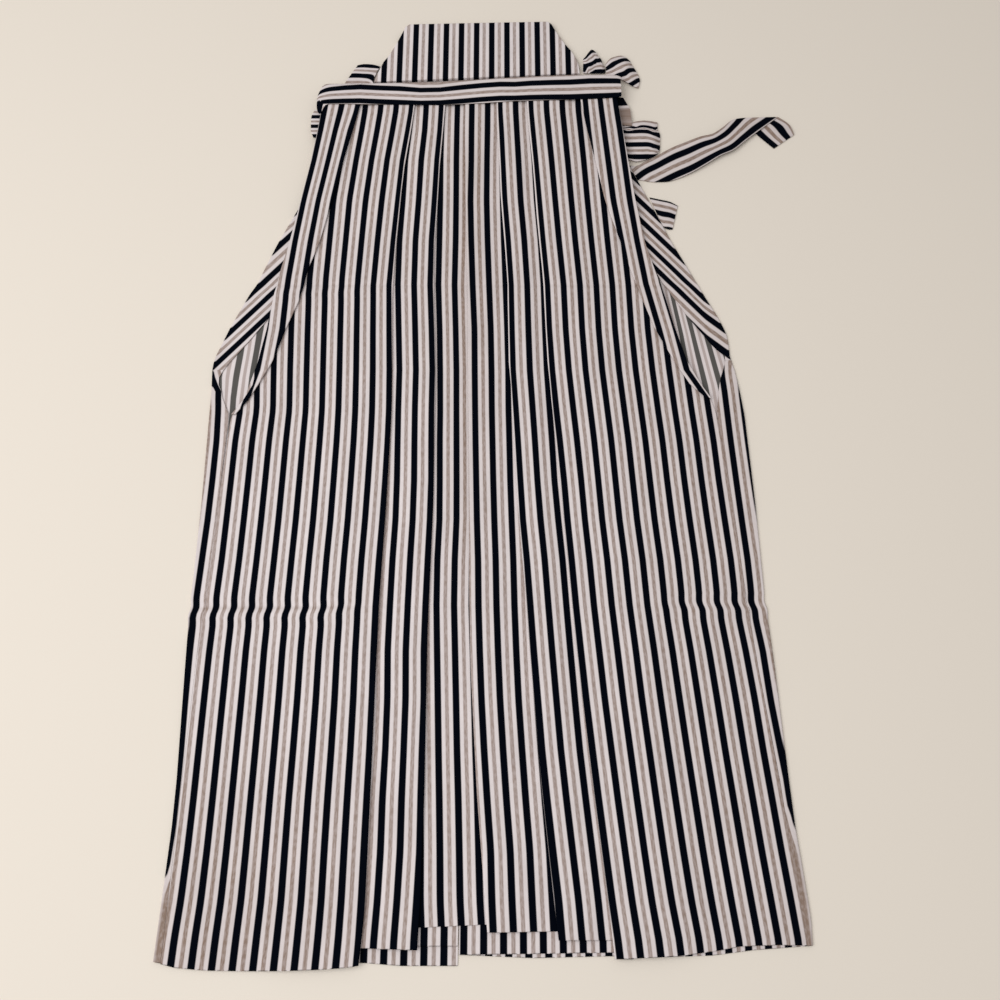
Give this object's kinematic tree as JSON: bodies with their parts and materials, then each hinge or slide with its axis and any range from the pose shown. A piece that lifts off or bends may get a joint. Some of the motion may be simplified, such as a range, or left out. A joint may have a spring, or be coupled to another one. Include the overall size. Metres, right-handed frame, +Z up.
{
  "type": "hakama trousers",
  "caption": "Pleated divided hakama trousers laid flat with the front up, with side pleats, waistband, stiff back board and folded ties.",
  "frame": {"origin": "middle of the outline's box, on the surface that the garment lies on", "axes": "+Y from the hem towards the waist, +X to the right as seen from above with the hem near, +Z up out of the front"},
  "size_m": [0.6178, 1.0003, 0.0136],
  "materials": {
    "trouser_cloth": "woven silk with fine vertical stripes, soft sheen",
    "band_cloth": "the same striped cloth, stripes along the band",
    "board_cloth": "the same striped cloth over a stiff board",
    "tie_cloth": "the same striped cloth, folded into flat ties"
  },
  "bodies": {
    "root": {"back_left": "trouser_cloth", "back_right": "trouser_cloth", "gusset_left": "trouser_cloth", "gusset_right": "trouser_cloth", "front_left": "trouser_cloth", "front_right": "trouser_cloth", "side_pleat_left": "trouser_cloth", "side_pleat_right": "trouser_cloth", "front_band": "band_cloth", "back_board": "board_cloth", "ties_folded": "tie_cloth", "tie_fold_left": "tie_cloth", "tie_back_left": "tie_cloth", "tie_loop_inner": "tie_cloth", "tie_loop_outer": "tie_cloth", "tie_loop_lower": "tie_cloth", "tie_patch": "tie_cloth", "tie_free": "tie_cloth", "tie_free_end": "tie_cloth", "tie_end_low": "tie_cloth"}
  },
  "joints": []
}
